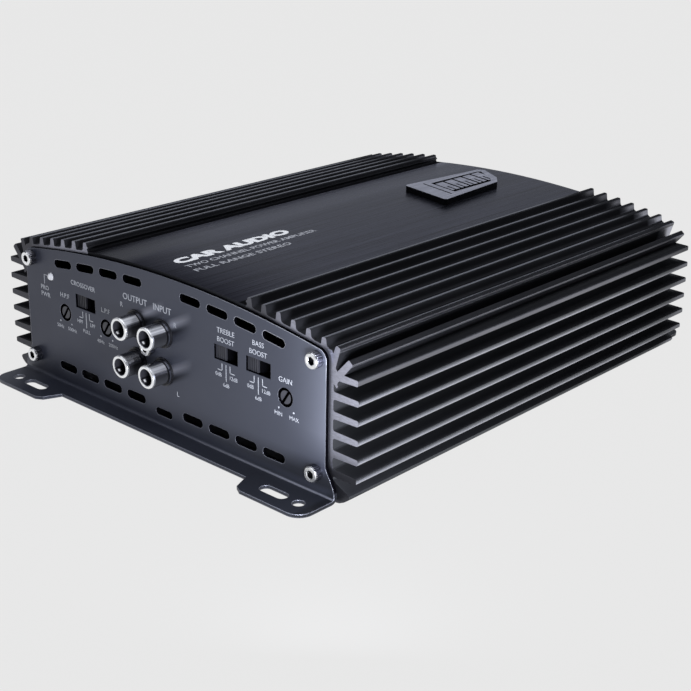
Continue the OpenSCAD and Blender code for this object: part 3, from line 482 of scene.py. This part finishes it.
def badge_metal():
    """Dark satin plate with a brushed face and glossy black sides."""
    s = Shader("badge_metal", metallic=0.9)
    grain = s.noise(1.0, 4, 0.6, (1500, 40, 1500))
    face = s.times(s.facing("Z", 0.8, 0.95), s.ramp(s.axis(s.place, "Z"), DECK_Z + 1.9 * MM, DECK_Z + 2.1 * MM, 0, 1))
    bright = s.mix(s.ramp(grain, 0.3, 0.7, 0, 1), (0.36, 0.37, 0.44), (0.52, 0.53, 0.61))
    s.link(s.mix(face, (0.014, 0.015, 0.018), bright), "Base Color")
    s.link(s.ramp(grain, 0.3, 0.7, 0.28, 0.42), "Roughness")
    s.bump(grain, 0.3, 0.00003)
    return s


def plastic(name, dark, light, rough=0.4, grain=1500.0, depth=0.00004):
    """Moulded plastic with a fine texture and slight unevenness of colour and gloss."""
    s = Shader(name, rough=rough)
    s.link(s.mix(s.vary(90, 4, 0.6, 0, 1), dark, light), "Base Color")
    s.link(s.vary(300, 3, 0.6, rough - 0.06, rough + 0.08), "Roughness")
    s.bump(s.noise(grain, 3, 0.6), 0.25, depth)
    return s


def metal(name, dark, light, low, high):
    """Plain metal with roughness from low to high."""
    s = Shader(name, metallic=1.0)
    s.link(s.mix(s.vary(500, 4, 0.7, 0, 1), dark, light), "Base Color")
    s.link(s.vary(850, 3, 0.6, low, high), "Roughness")
    return s


def solder_mask():
    """Green board, darkened as painted shade inside the case, with a grid of copper tracks under the mask."""
    s = Shader("board", rough=0.3, Coat_Weight=0.4, Coat_Roughness=0.15)
    brick = s.node("ShaderNodeTexBrick", {"Vector": s.scaled((1, 1, 1)), "Scale": 220.0, "Mortar Size": 0.03,
                                          "Color1": (0.004, 0.020, 0.010, 1), "Color2": (0.003, 0.014, 0.008, 1),
                                          "Mortar": (0.010, 0.050, 0.024, 1)})
    s.link(brick.outputs["Color"], "Base Color")
    s.bump(brick.outputs["Fac"], 0.2, 0.00005)
    return s


MATERIALS = {
    "anodised": anodised(),
    "cover_paint": plastic("cover_paint", (0.012, 0.012, 0.014), (0.022, 0.022, 0.025), 0.5, 1100, 0.00006),
    "panel_paint": panel_paint(),
    "chrome": chrome(),
    "zinc": zinc(),
    "badge_metal": badge_metal(),
    "board": solder_mask(),
    "black_plastic": plastic("black_plastic", (0.008, 0.008, 0.010), (0.016, 0.016, 0.019), 0.36),
    "blue_plastic": plastic("blue_plastic", (0.02, 0.04, 0.20), (0.03, 0.06, 0.28), 0.3, 800),
    "switch_frame": metal("switch_frame", (0.006, 0.006, 0.007), (0.012, 0.012, 0.014), 0.5, 0.65),
    "brass": metal("brass", (0.62, 0.46, 0.20), (0.78, 0.60, 0.30), 0.2, 0.35),
    "led_lens": plastic("led_lens", (0.78, 0.79, 0.84), (0.86, 0.87, 0.92), 0.25, 900, 0.00001),
    "ferrite": plastic("ferrite", (0.05, 0.06, 0.055), (0.09, 0.10, 0.09), 0.6),
    "copper_wire": metal("copper_wire", (0.50, 0.20, 0.08), (0.62, 0.28, 0.12), 0.22, 0.35),
    "pad_rubber": plastic("pad_rubber", (0.42, 0.41, 0.38), (0.50, 0.49, 0.46), 0.7),
    "fuse_plastic": plastic("fuse_plastic", (0.02, 0.13, 0.55), (0.03, 0.18, 0.66), 0.22, 600, 0.00002),
}

for part in frame["record"]["subparts"]:
    paint(part["node"], MATERIALS[part["material_slot"]])


def rotor_material(node):
    """Grey rotor face with painted shade: black at its edge and in its slot."""
    s = plastic(node + "_paint", (0.034, 0.035, 0.045), (0.044, 0.045, 0.057), 0.40, 1200, 0.00002)
    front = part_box(node)[0][1]
    # painted shade: black outside 2.2 mm from the middle and deeper than the face
    black = s.math("MAXIMUM", s.ramp(s.away(node), 2.20 * MM, 2.30 * MM, 0, 1),
                   s.ramp(s.axis(s.place, "Y"), front + 0.2 * MM, front + 0.3 * MM, 0, 1))
    face = s.bsdf.inputs["Base Color"].links[0].from_socket
    s.link(s.mix(black, face, (0.001, 0.001, 0.001)), "Base Color")
    s.link(s.ramp(black, 0, 1, 0.5, 0), "Specular IOR Level")
    return s


def slider_material():
    """Knob face a little paler than its ribs, and painted shade on all that lies deep in the window."""
    s = plastic("slider", (0.026, 0.027, 0.034), (0.036, 0.037, 0.046), 0.5)
    face = s.bsdf.inputs["Base Color"].links[0].from_socket
    # painted shade: near black beyond 1.3 mm behind the panel face
    deep = s.ramp(s.axis(s.place, "Y"), FACE_Y + 1.3 * MM, FACE_Y + 1.5 * MM, 0, 1)
    s.link(s.mix(deep, face, (0.002, 0.002, 0.003)), "Base Color")
    s.link(s.ramp(deep, 0, 1, 0.4, 0.05), "Specular IOR Level")
    return s


for name in ("hpf_rotor", "lpf_rotor", "gain_rotor"):
    paint(name, rotor_material(name))
SHADED = plastic("shaded_plastic", (0.003, 0.004, 0.010), (0.006, 0.008, 0.020), 0.6)
SHADED.set("Specular IOR Level", 0.1)
for name in ("hpf_pot_body", "lpf_pot_body", "gain_pot_body"):
    paint(name, SHADED)
# strength of each jack's painted streak highlight; weaker where the jack lies in shade
for name, highlight_strength in (("output_r", 1.0), ("output_l", 0.3), ("input_r", 1.0), ("input_l", 0.9)):
    paint(name + "_shield", jack_plating(name + "_shield", highlight_strength))
SLIDER = slider_material()
for name in ("crossover_slider", "treble_slider", "bass_slider"):
    paint(name, SLIDER)
# the contacts deep in the bores are darkened as painted shade
paint("rca_contacts", metal("contact", (0.10, 0.09, 0.07), (0.16, 0.14, 0.10), 0.3, 0.45))
SCREW_PLATING = screw_plating()
# the screws' hex sockets: darkened as painted shade inside the recess
SOCKET = metal("socket", (0.020, 0.020, 0.022), (0.035, 0.035, 0.038), 0.4, 0.5)

INK = plastic("ink", (0.43, 0.45, 0.50), (0.53, 0.55, 0.60), 0.5, 2500, 0.00001)
DECK_INK = plastic("deck_ink", (0.84, 0.85, 0.88), (0.92, 0.93, 0.95), 0.45, 2500, 0.00001)
FAINT_INK = plastic("faint_ink", (0.36, 0.37, 0.41), (0.44, 0.45, 0.49), 0.5, 2500, 0.00001)

# ---------- printed legends ----------

INK_T = 0.04 * MM                        # how far the print stands above its surface
# cap heights of the lettering, in millimetres
HEADING_H = 2.3
TERMINAL_H = 1.9
CAPTION_H = 1.75
LETTER_H = 1.7
VALUE_H = 1.35


def flat_text(body, height, width=None, bold=0.0):
    """A filled outline of body, cap height as given, its lower left corner at the origin, in X and Y."""
    curve = bpy.data.curves.new("text", "FONT")
    curve.body = body
    curve.resolution_u = 3
    curve.offset = bold
    curve.fill_mode = "FRONT"
    temp = bpy.data.objects.new("text", curve)
    bpy.context.scene.collection.objects.link(temp)
    bpy.context.view_layer.update()
    mesh = bpy.data.meshes.new_from_object(temp.evaluated_get(bpy.context.evaluated_depsgraph_get()))
    bpy.data.objects.remove(temp)
    bpy.data.curves.remove(curve)
    xs = [v.co.x for v in mesh.vertices]
    ys = [v.co.y for v in mesh.vertices]
    k = height / (max(ys) - min(ys))
    kx = width / (max(xs) - min(xs)) if width else k
    for v in mesh.vertices:
        v.co = ((v.co.x - min(xs)) * kx, (v.co.y - min(ys)) * k, 0)
    return mesh


class Print:
    """Collects text and lines drawn on one surface into one thin mesh."""

    def __init__(self, name, place):
        self.name, self.place, self.bm = name, place, bmesh.new()

    def add_faces(self, points, faces):
        """Closed thin pieces: a top sheet, a bottom sheet and the walls along their outlines."""
        low = [self.bm.verts.new(self.place(*p, 0.2 * INK_T)) for p in points]
        high = [self.bm.verts.new(self.place(*p, INK_T)) for p in points]
        edges = {(a, b) for face in faces for a, b in zip(face, face[1:] + face[:1])}
        for face in faces:
            self.bm.faces.new([high[i] for i in face])
            self.bm.faces.new([low[i] for i in reversed(face)])
        for a, b in edges:
            if (b, a) not in edges:
                self.bm.faces.new((low[a], low[b], high[b], high[a]))

    def text(self, body, u, v, height, align="centre", width=None, bold=0.0):
        """Text whose baseline starts, centres or ends at u, v, in millimetres."""
        mesh = flat_text(body, height, width, bold)
        length = max(p.co.x for p in mesh.vertices)
        shift = {"left": 0, "centre": -length / 2, "right": -length}[align]
        self.add_faces([(u + shift + p.co.x, v + p.co.y) for p in mesh.vertices],
                       [tuple(f.vertices) for f in mesh.polygons])
        bpy.data.meshes.remove(mesh)

    def line(self, points, t=0.35):
        """A run of straight strokes of width t through points."""
        for (u0, v0), (u1, v1) in zip(points, points[1:]):
            along = Vector((u1 - u0, v1 - v0)).normalized() * t / 2
            side = Vector((-along.y, along.x))
            a, b = Vector((u0, v0)) - along, Vector((u1, v1)) + along
            self.add_faces([tuple(a - side), tuple(b - side), tuple(b + side), tuple(a + side)], [(0, 1, 2, 3)])

    def dot(self, u, v, r):
        turn = [math.tau * i / 16 for i in range(16)]
        self.add_faces([(u + r * math.cos(a), v + r * math.sin(a)) for a in turn], [tuple(range(16))])

    def finish(self, shader):
        mesh = bpy.data.meshes.new(self.name)
        self.bm.to_mesh(mesh)
        self.bm.free()
        mesh.materials.append(shader.mat)
        obj = bpy.data.objects.new(self.name, mesh)
        bpy.context.scene.collection.objects.link(obj)
        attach(obj, "chassis")
        return obj


def on_front(u, v, lift):
    return (u * MM, FACE_Y - lift, v * MM)


def on_rear(u, v, lift):
    """u runs to the right as the rear panel is faced, so against X."""
    return (-u * MM, REAR_Y + lift, v * MM)


def on_deck(u, v, lift):
    """u runs back along Y and v across towards -X."""
    return (-v * MM, u * MM, crown(v * MM) + lift)


def switch_legend(sheet, node, captions, marks, left=0.0, lift=1.3):
    """Captions above a switch window and a mark for each of its three positions."""
    at = middle(node) / MM
    half_window, line_step, stroke = 2.55, 3.1, 0.3
    top, low = at.z + half_window, at.z - half_window
    for i, caption in enumerate(reversed(captions)):
        sheet.text(caption, at.x - left, top + lift + line_step * i, CAPTION_H)
    for s, mark in ((-1, marks[0]), (1, marks[2])):
        bend = at.x + 1.9 * s
        sheet.line([(bend, low - 1.1), (bend, low - 3.4), (at.x + 3.8 * s, low - 3.4)], stroke)
        sheet.text(mark, at.x + 3.6 * s, low - 5.7, VALUE_H)
    sheet.line([(at.x, low - 1.1), (at.x, low - 6.7)], stroke)
    sheet.text(marks[1], at.x, low - 8.9, VALUE_H)


def trimmer_legend(sheet, node, caption, ends, lift=6.3, drop=3.2, right=0.0):
    """A caption above a trimmer, and a dot and a value at each end of its turn."""
    at = middle(node) / MM
    sheet.text(caption, at.x, at.z + lift, CAPTION_H)
    for s, end in zip((-1, 1), ends):
        sheet.dot(at.x + 3.3 * s + right, at.z - drop, 0.33)
        sheet.text(end, at.x + 3.5 * s + right, at.z - drop - 2.7, VALUE_H)


def front_legends():
    """Names and scale marks beside the controls and the jacks."""
    sheet = Print("front_legends", on_front)
    switch_legend(sheet, "crossover_switch_body", ["CROSSOVER"], ["HPF", "FULL", "LPF"], 1.0, 3.0)
    switch_legend(sheet, "treble_switch_body", ["TREBLE", "BOOST"], ["0dB", "6dB", "12dB"])
    switch_legend(sheet, "bass_switch_body", ["BASS", "BOOST"], ["0dB", "6dB", "12dB"])
    trimmer_legend(sheet, "hpf_pot_body", "H.P.F", ("50Hz", "500Hz"))
    trimmer_legend(sheet, "lpf_pot_body", "L.P.F", ("40Hz", "200Hz"))
    trimmer_legend(sheet, "gain_pot_body", "GAIN", ("MIN", "MAX"), 5.5, 3.6, 0.4)
    out_r, in_r, in_l = (middle(name + "_shield") / MM for name in ("output_r", "input_r", "input_l"))
    sheet.text("OUTPUT", out_r.x - 0.4, out_r.z + 7.6, HEADING_H)
    sheet.text("INPUT", in_r.x + 0.2, in_r.z + 7.6, HEADING_H)
    sheet.text("R", out_r.x - 7.7, out_r.z + 4.4, LETTER_H)
    sheet.text("R", in_r.x + 6.6, in_r.z + 3.8, LETTER_H)
    sheet.text("L", in_l.x + 7.2, in_l.z - 7.2, LETTER_H)
    led = middle("power_led") / MM
    sheet.line([(led.x - 2.1, led.z), (led.x - 4.0, led.z), (led.x - 4.0, led.z - 3.4)], 0.25)
    sheet.text("PRO", led.x - 4.0, led.z - 5.9, CAPTION_H)
    sheet.text("PWR", led.x - 3.6, led.z - 8.5, CAPTION_H)
    sheet.finish(INK)


def rear_legends():
    """Names above the terminals and the fuses."""
    sheet = Print("rear_legends", on_rear)
    for node, caption in (("ground_screw", "GND"), ("remote_screw", "REM"), ("supply_screw", "+12V")):
        sheet.text(caption, -middle(node).x / MM, 38.6, TERMINAL_H)
    for node, caption in zip("abcd", ("L+", "L-", "R-", "R+")):
        sheet.text(caption, -middle("speaker_screw_" + node).x / MM, 33.6, TERMINAL_H)
    sheet.text("SPEAKERS", -middle("speaker_terminal_block").x / MM, 38.2, HEADING_H)
    sheet.text("POWER", -middle("power_terminal_block").x / MM, 43.2, HEADING_H)
    sheet.text("FUSES", -middle("fuse_a").x / MM, 42.2, TERMINAL_H)
    sheet.finish(INK)


def deck_legends():
    """A title and two small lines at the front of the deck."""
    title = Print("deck_title", on_deck)
    title.text("CAR AUDIO", -88.5, 2.0, 5.7, "left", 54.5, 0.06)
    title.finish(DECK_INK)
    small = Print("deck_lines", on_deck)
    small.text("TWO CHANNEL POWER AMPLIFIER", -89.0, -3.0, 2.6, "left", 63.0, 0.02)
    small.text("FULL RANGE STEREO", -89.5, -8.0, 2.6, "left", 45.5, 0.02)
    small.finish(FAINT_INK)


front_legends()
rear_legends()
deck_legends()

# ---------- socket cap screws ----------


def ring(bm, radii, y, turn=0.0):
    """One ring of points about Y, radius from the list radii."""
    n = len(radii)
    return [bm.verts.new((r * math.cos(math.tau * i / n + turn), y, r * math.sin(math.tau * i / n + turn)))
            for i, r in enumerate(radii)]


def bridge(bm, a, b):
    n = len(a)
    for i in range(n):
        bm.faces.new((a[i], a[(i + 1) % n], b[(i + 1) % n], b[i]))


def cap_screw(name, head_r, head_h, hex_r, shank_r, length, knurls=24):
    """Socket cap screw along Y, its head's seat at the origin and its head towards -Y."""
    bm = bmesh.new()
    n = knurls * 4
    knurl_depth, relief, crown_r, socket_depth = 0.11 * MM, 0.12 * MM, 0.42 * MM, 1.7 * MM
    knurl = [head_r - (knurl_depth if i % 4 in (0, 3) else 0.0) for i in range(n)]
    plain = [head_r - relief] * n
    # distance from the middle to a hexagon's edge, for each of the n directions
    hexagon = [hex_r * math.cos(math.pi / 6) / math.cos((math.tau * i / n) % (math.pi / 3) - math.pi / 6)
               for i in range(n)]
    rings = [ring(bm, [shank_r] * n, length), ring(bm, [shank_r] * n, 0), ring(bm, plain, 0),
             ring(bm, plain, -0.25 * MM), ring(bm, knurl, -0.35 * MM), ring(bm, knurl, -head_h + 0.62 * MM),
             ring(bm, plain, -head_h + 0.55 * MM)]
    for k in range(1, 5):
        a = math.pi / 2 * k / 4
        r = head_r - relief - crown_r * (1 - math.cos(a))
        rings.append(ring(bm, [r] * n, -head_h + crown_r * (1 - math.sin(a))))
    rings.append(ring(bm, [v * 1.10 for v in hexagon], -head_h))
    rings.append(ring(bm, hexagon, -head_h + 0.16 * MM))
    rings.append(ring(bm, hexagon, -head_h + socket_depth))
    for a, b in zip(rings, rings[1:]):
        bridge(bm, a, b)
    bm.faces.new(rings[0])
    bm.faces.new(rings[-1][::-1])
    bmesh.ops.recalc_face_normals(bm, faces=bm.faces[:])
    mesh = bpy.data.meshes.new(name)
    bm.to_mesh(mesh)
    bm.free()
    mesh.materials.append(SCREW_PLATING.mat)
    mesh.materials.append(SOCKET.mat)
    for face in mesh.polygons:
        inner = math.hypot(face.center.x, face.center.z) < hex_r
        face.material_index = 1 if inner and face.center.y > 0.1 * MM - head_h else 0
    return mesh


def place_screws():
    head_r, head_h = 2.75 * MM, 3.0 * MM
    lo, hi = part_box("front_panel_screws")
    xs = (lo[0] + head_r, hi[0] - head_r)
    zs = (lo[2] + head_r, hi[2] - head_r)
    mesh = cap_screw("panel_screw", head_r, head_h, 1.45 * MM, 1.5 * MM, 10 * MM)
    for end, y, turn in (("front", FACE_Y, 0.0), ("rear", REAR_Y, math.pi)):
        for i, (x, z) in enumerate([(x, z) for x in xs for z in zs]):
            obj = bpy.data.objects.new(f"{end}_screw_{i + 1}", mesh.copy())
            bpy.context.scene.collection.objects.link(obj)
            spin = Matrix.Rotation(0.3 + 1.1 * i, 4, "Y")
            obj.data.transform(Matrix.Translation((x, y, z)) @ Matrix.Rotation(turn, 4, "Z") @ spin)
            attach(obj, "chassis")
            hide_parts(f"{end}_panel_screws")
    at = middle("rca_screw")
    mesh = cap_screw("jack_screw", 2.5 * MM, 2.7 * MM, 1.3 * MM, 1.3 * MM, 7.7 * MM, 20)
    obj = bpy.data.objects.new("jack_screw", mesh)
    bpy.context.scene.collection.objects.link(obj)
    mesh.transform(Matrix.Translation((at.x, FACE_Y, at.z)) @ Matrix.Rotation(0.4, 4, "Y"))
    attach(obj, "chassis")
    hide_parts("rca_screw")


place_screws()

# ---------- floor and light ----------


def add_floor():
    """A wide pale plain floor."""
    size = 40.0
    mesh = bpy.data.meshes.new("floor")
    mesh.from_pydata([(-size, -size, 0), (size, -size, 0), (size, size, 0), (-size, size, 0)], [], [(0, 1, 2, 3)])
    floor = bpy.data.objects.new("floor", mesh)
    bpy.context.scene.collection.objects.link(floor)
    s = Shader("floor_paper", (0.005, 0.005, 0.005), 0.0, 1.0)
    s.set("Specular IOR Level", 0.0)
    s.set("Emission Color", (1.0, 1.0, 1.0, 1))
    s.set("Emission Strength", 0.80)
    mesh.materials.append(s.mat)


def area_light(name, at, aim, size, power, colour):
    """A square lamp of the given size and power, turned towards aim."""
    data = bpy.data.lights.new(name, "AREA")
    data.shape = "RECTANGLE"
    data.size = data.size_y = size
    data.energy = power
    data.color = colour
    light = bpy.data.objects.new(name, data)
    light.visible_camera = False
    bpy.context.scene.collection.objects.link(light)
    light.matrix_world = (Matrix.Translation(Vector(at))
                          @ (Vector(aim) - Vector(at)).to_track_quat("-Z", "Y").to_matrix().to_4x4())


def add_lights():
    """Dim bluish surroundings, a low key beside the front corner, a broad soft lamp above and two fills."""
    scene = bpy.context.scene
    scene.view_settings.view_transform = "Standard"
    world = bpy.data.worlds.new("studio")
    world.use_nodes = True
    nodes, links = world.node_tree.nodes, world.node_tree.links
    dim = nodes["Background"]
    dim.inputs["Color"].default_value = (0.80, 0.85, 1.0, 1)
    dim.inputs["Strength"].default_value = 0.10
    # seen straight from a low camera, what lies beyond the floor is as pale as the floor
    pale = nodes.new("ShaderNodeBackground")
    pale.inputs["Strength"].default_value = 0.80
    pale.inputs["Color"].default_value = (1.0, 1.0, 1.0, 1)
    path, blend = nodes.new("ShaderNodeLightPath"), nodes.new("ShaderNodeMixShader")
    links.new(path.outputs["Is Camera Ray"], blend.inputs[0])
    links.new(dim.outputs[0], blend.inputs[1])
    links.new(pale.outputs[0], blend.inputs[2])
    links.new(blend.outputs[0], nodes["World Output"].inputs["Surface"])
    scene.world = world
    area_light("corner_key", (0.135, -0.160, 0.033), (0.085, -0.1, 0.028), 0.04, 0.22, (0.88, 0.91, 1.0))
    area_light("top_fill", (0.0, 0.1, 0.95), (0, 0, 0.05), 1.3, 11.0, (0.95, 0.97, 1.0))
    area_light("front_fill", (-0.5, -1.2, 0.5), (0, -0.1, 0.03), 0.7, 1.5, (0.92, 0.94, 1.0))
    area_light("rear_sweep", (-1.1, 1.2, 0.75), (0, 0, 0.05), 1.1, 0.9, (0.88, 0.91, 1.0))


add_floor()
add_lights()
